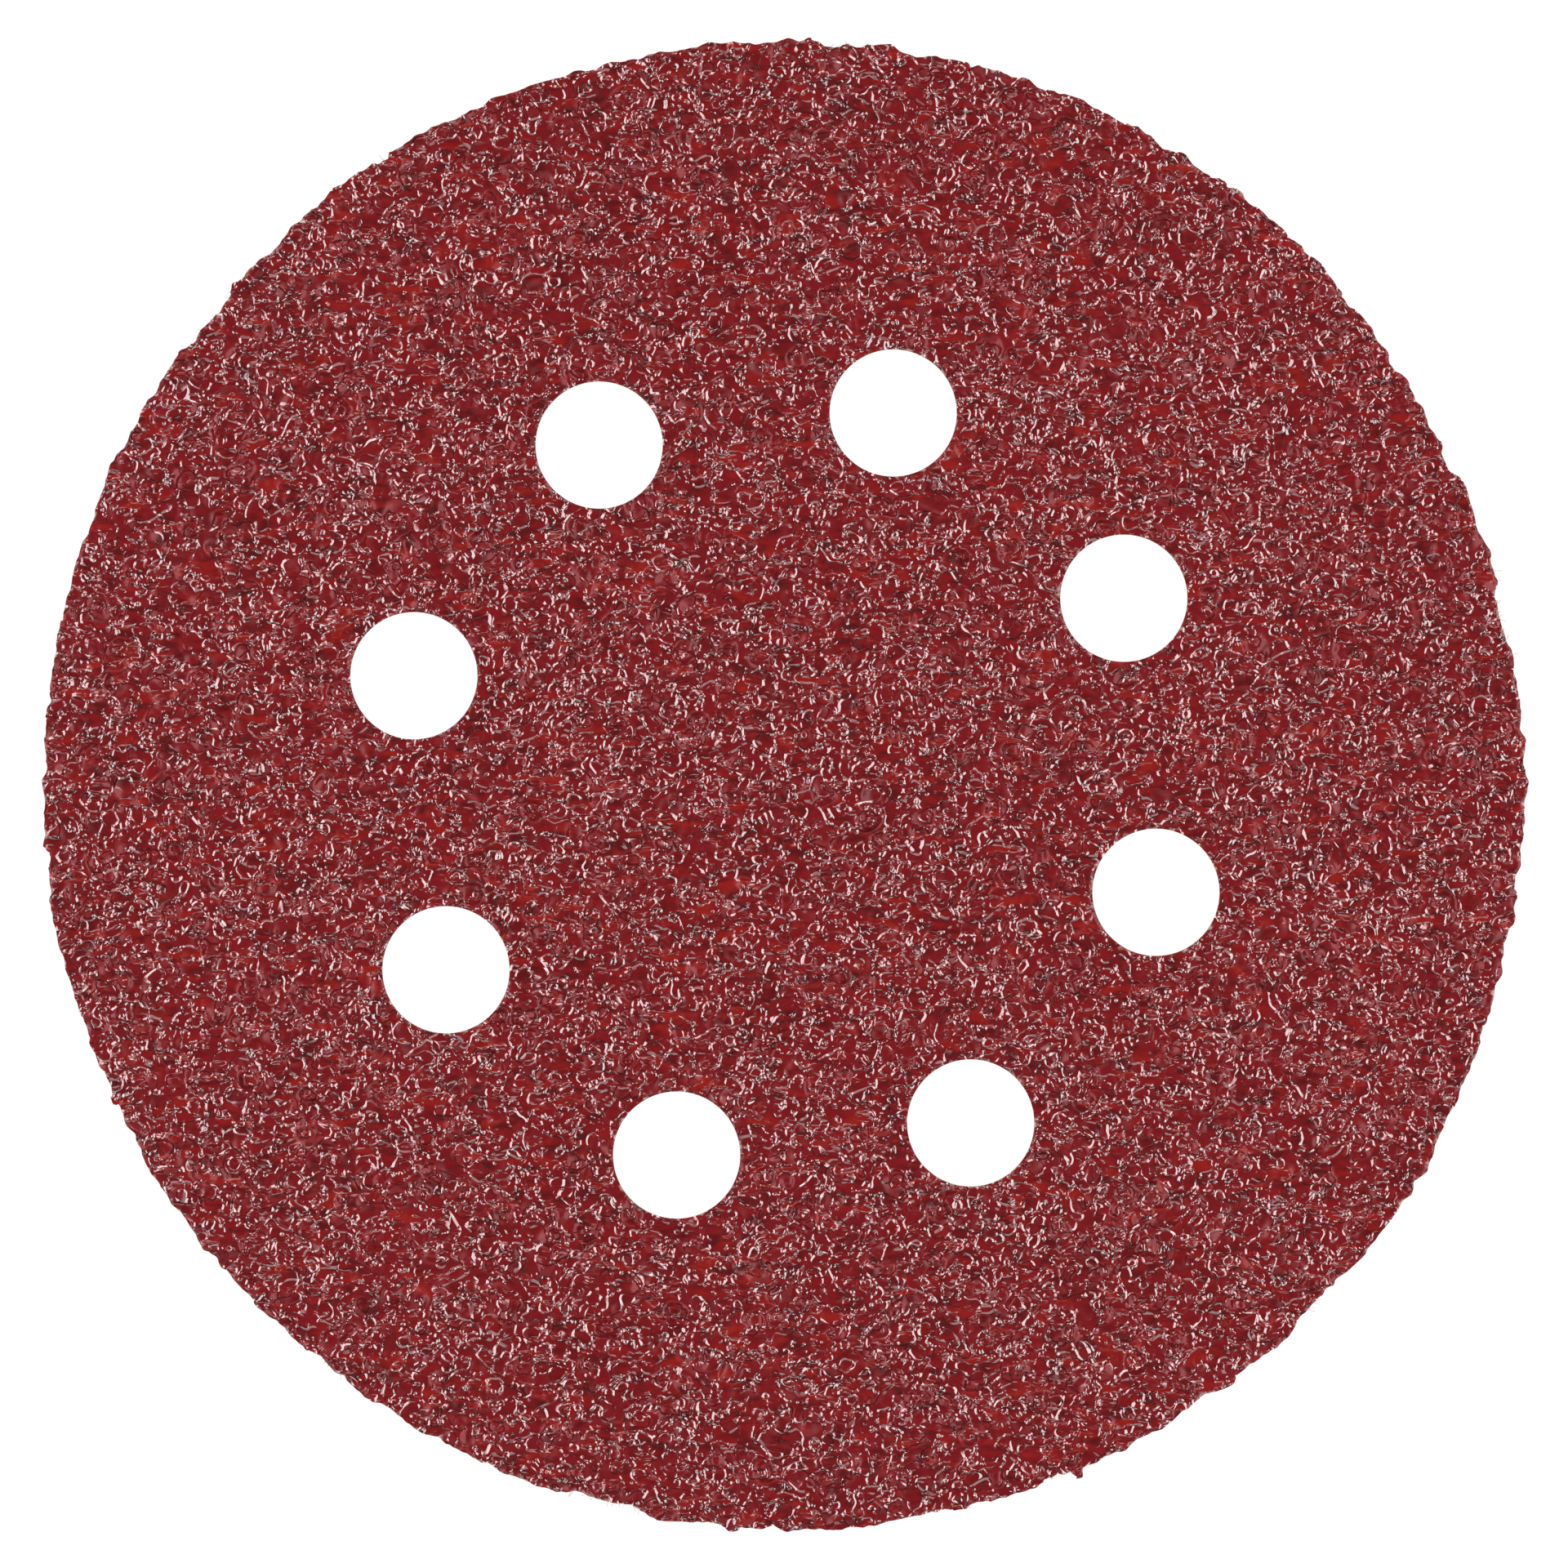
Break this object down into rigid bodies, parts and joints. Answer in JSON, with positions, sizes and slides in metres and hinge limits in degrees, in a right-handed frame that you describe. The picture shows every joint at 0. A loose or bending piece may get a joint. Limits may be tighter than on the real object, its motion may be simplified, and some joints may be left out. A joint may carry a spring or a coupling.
{
  "type": "hook and loop sanding disc",
  "caption": "Round sanding disc: coarse red grit on paper, punched with a ring of dust holes, with a loop fabric back that grips a sander's hook pad.",
  "frame": {"origin": "centre of the ring of dust holes, on the loop face that lies on the sander's pad", "axes": "+Z out of the grit face; +X through the centre of one dust hole"},
  "size_m": [0.1247, 0.126, 0.0018],
  "materials": {
    "loop_fabric": "matte",
    "backing_paper": "matte",
    "red_grit": "gloss"
  },
  "bodies": {
    "root": {"loop_fabric": "loop_fabric", "backing_paper": "backing_paper", "abrasive_coat": "red_grit"}
  },
  "joints": []
}
